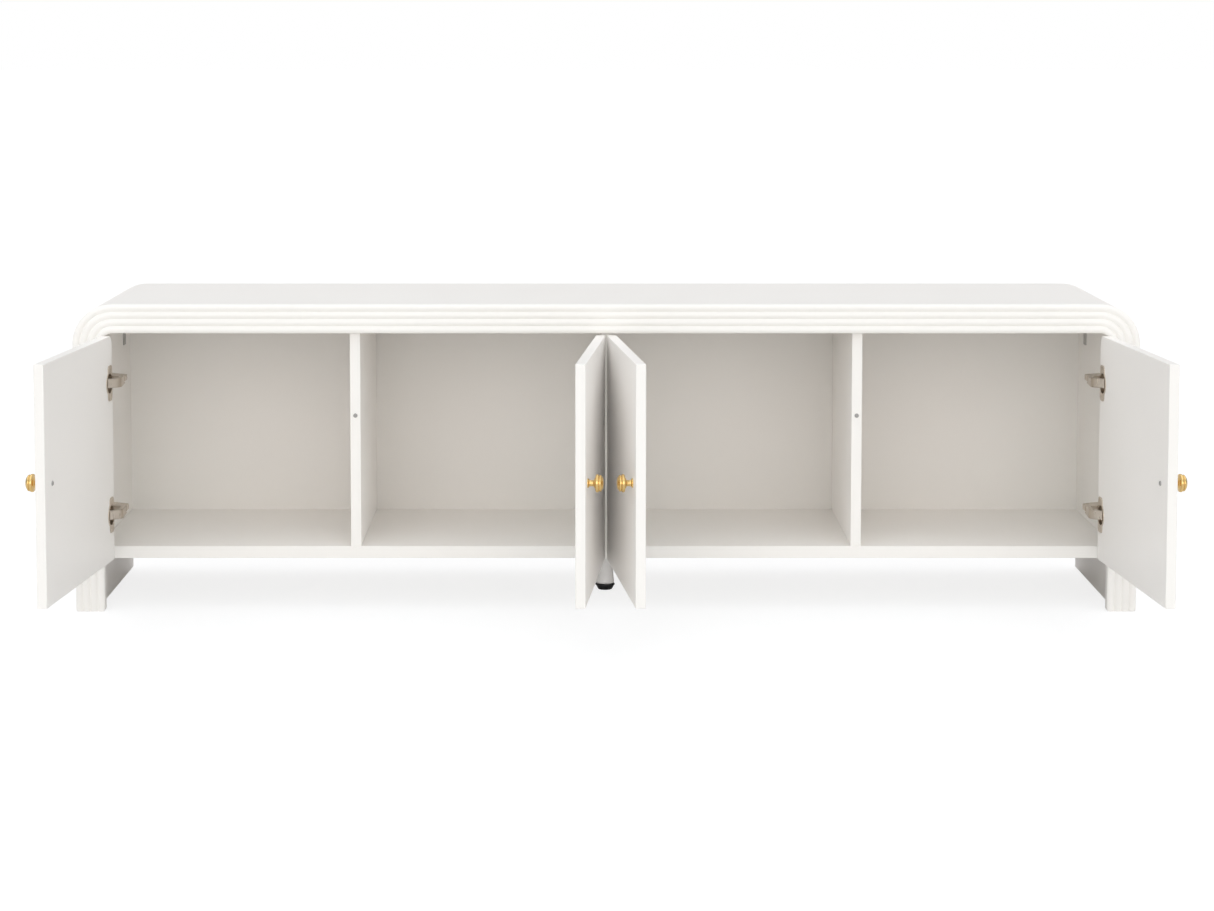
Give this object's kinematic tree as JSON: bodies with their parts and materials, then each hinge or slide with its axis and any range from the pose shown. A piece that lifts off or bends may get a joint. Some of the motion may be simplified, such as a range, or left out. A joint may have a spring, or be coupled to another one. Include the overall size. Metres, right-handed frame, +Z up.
{
  "type": "tv stand",
  "caption": "Low, wide cabinet with a rounded, reeded front frame, hinged slab doors with round knobs, and a small middle support under its floor.",
  "frame": {"origin": "on the floor under the middle of the cabinet, at the centre of the middle support's glide", "axes": "+Z up, +X along the cabinet's width to the viewer's right, the doors and the reeded front face -Y"},
  "size_m": [1.8092, 0.8218, 0.524],
  "materials": {
    "white_lacquer": "satin white lacquer over board",
    "support_paint": "satin white paint",
    "beech": "plain beech dowel",
    "knob_brass": "satin polished brass",
    "hinge_nickel": "nickel plated",
    "zinc_steel": "zinc plated",
    "black_plastic": "fine matt moulding",
    "bumper_rubber": "soft translucent"
  },
  "bodies": {
    "cabinet": {"assembly_dowels": "beech", "back_panel": "white_lacquer", "back_panel_screws": "zinc_steel", "corner_block_left": "white_lacquer", "corner_block_right": "white_lacquer", "corner_strap_screws": "zinc_steel", "corner_straps_left": "zinc_steel", "corner_straps_right": "zinc_steel", "door_bumpers": "bumper_rubber", "floor_panel": "white_lacquer", "front_corner_left": "white_lacquer", "front_corner_right": "white_lacquer", "front_rail": "white_lacquer", "front_stile_left": "white_lacquer", "front_stile_right": "white_lacquer", "hinge_packers": "white_lacquer", "hinge_plate_screws": "hinge_nickel", "hinge_plates": "hinge_nickel", "partition_center": "white_lacquer", "partition_left": "white_lacquer", "partition_right": "white_lacquer", "side_panel_left": "white_lacquer", "side_panel_right": "white_lacquer", "support_hanger_bolt": "zinc_steel", "support_insert": "zinc_steel", "support_leg": "support_paint", "top_panel": "white_lacquer"},
    "glide": {"glide_pad": "black_plastic", "glide_stem": "zinc_steel"},
    "door_left_outer": {"cup_screws_left_outer": "hinge_nickel", "door_left_outer": "white_lacquer", "hinge_cups_left_outer": "hinge_nickel", "knob_left_outer": "knob_brass", "knob_screw_left_outer": "zinc_steel"},
    "arms_left_outer": {"hinge_arms_left_outer": "hinge_nickel", "hinge_pins_left_outer": "hinge_nickel"},
    "door_left_inner": {"cup_screws_left_inner": "hinge_nickel", "door_left_inner": "white_lacquer", "hinge_cups_left_inner": "hinge_nickel", "knob_left_inner": "knob_brass", "knob_screw_left_inner": "zinc_steel"},
    "arms_left_inner": {"hinge_arms_left_inner": "hinge_nickel", "hinge_pins_left_inner": "hinge_nickel"},
    "door_right_inner": {"cup_screws_right_inner": "hinge_nickel", "door_right_inner": "white_lacquer", "hinge_cups_right_inner": "hinge_nickel", "knob_right_inner": "knob_brass", "knob_screw_right_inner": "zinc_steel"},
    "arms_right_inner": {"hinge_arms_right_inner": "hinge_nickel", "hinge_pins_right_inner": "hinge_nickel"},
    "door_right_outer": {"cup_screws_right_outer": "hinge_nickel", "door_right_outer": "white_lacquer", "hinge_cups_right_outer": "hinge_nickel", "knob_right_outer": "knob_brass", "knob_screw_right_outer": "zinc_steel"},
    "arms_right_outer": {"hinge_arms_right_outer": "hinge_nickel", "hinge_pins_right_outer": "hinge_nickel"}
  },
  "joints": [
    {"name": "door_left_outer_hinge", "type": "hinge", "parent": "cabinet", "child": "door_left_outer", "pos_m": [-0.8485, -0.1995, 0.28125], "axis": [0, 0, 1], "range_deg": [-4, 95]},
    {"name": "arms_left_outer_pivot", "type": "hinge", "parent": "cabinet", "child": "arms_left_outer", "pos_m": [-0.822, -0.156, 0.28125], "axis": [0, 0, 1], "range_deg": [-4, 83]},
    {"name": "door_left_inner_hinge", "type": "hinge", "parent": "cabinet", "child": "door_left_inner", "pos_m": [-0.00125, -0.1995, 0.28125], "axis": [0, 0, -1], "range_deg": [0, 85.4]},
    {"name": "arms_left_inner_pivot", "type": "hinge", "parent": "cabinet", "child": "arms_left_inner", "pos_m": [-0.02775, -0.156, 0.28125], "axis": [0, 0, -1], "range_deg": [0, 83]},
    {"name": "door_right_inner_hinge", "type": "hinge", "parent": "cabinet", "child": "door_right_inner", "pos_m": [0.00125, -0.1995, 0.28125], "axis": [0, 0, 1], "range_deg": [0, 84.4]},
    {"name": "arms_right_inner_pivot", "type": "hinge", "parent": "cabinet", "child": "arms_right_inner", "pos_m": [0.02775, -0.156, 0.28125], "axis": [0, 0, 1], "range_deg": [0, 83]},
    {"name": "door_right_outer_hinge", "type": "hinge", "parent": "cabinet", "child": "door_right_outer", "pos_m": [0.8485, -0.1995, 0.28125], "axis": [0, 0, -1], "range_deg": [-4, 94.2]},
    {"name": "arms_right_outer_pivot", "type": "hinge", "parent": "cabinet", "child": "arms_right_outer", "pos_m": [0.822, -0.156, 0.28125], "axis": [0, 0, -1], "range_deg": [-4, 83]},
    {"name": "glide_turn", "type": "hinge", "parent": "cabinet", "child": "glide", "pos_m": [0, 0, 0.005], "axis": [0, 0, 1], "continuous": true}
  ],
  "couplings": [
    {"joint": "arms_left_outer_pivot", "follows": "door_left_outer_hinge", "ratio": 0.87},
    {"joint": "arms_left_inner_pivot", "follows": "door_left_inner_hinge", "ratio": 0.97},
    {"joint": "arms_right_inner_pivot", "follows": "door_right_inner_hinge", "ratio": 0.982},
    {"joint": "arms_right_outer_pivot", "follows": "door_right_outer_hinge", "ratio": 0.877}
  ]
}
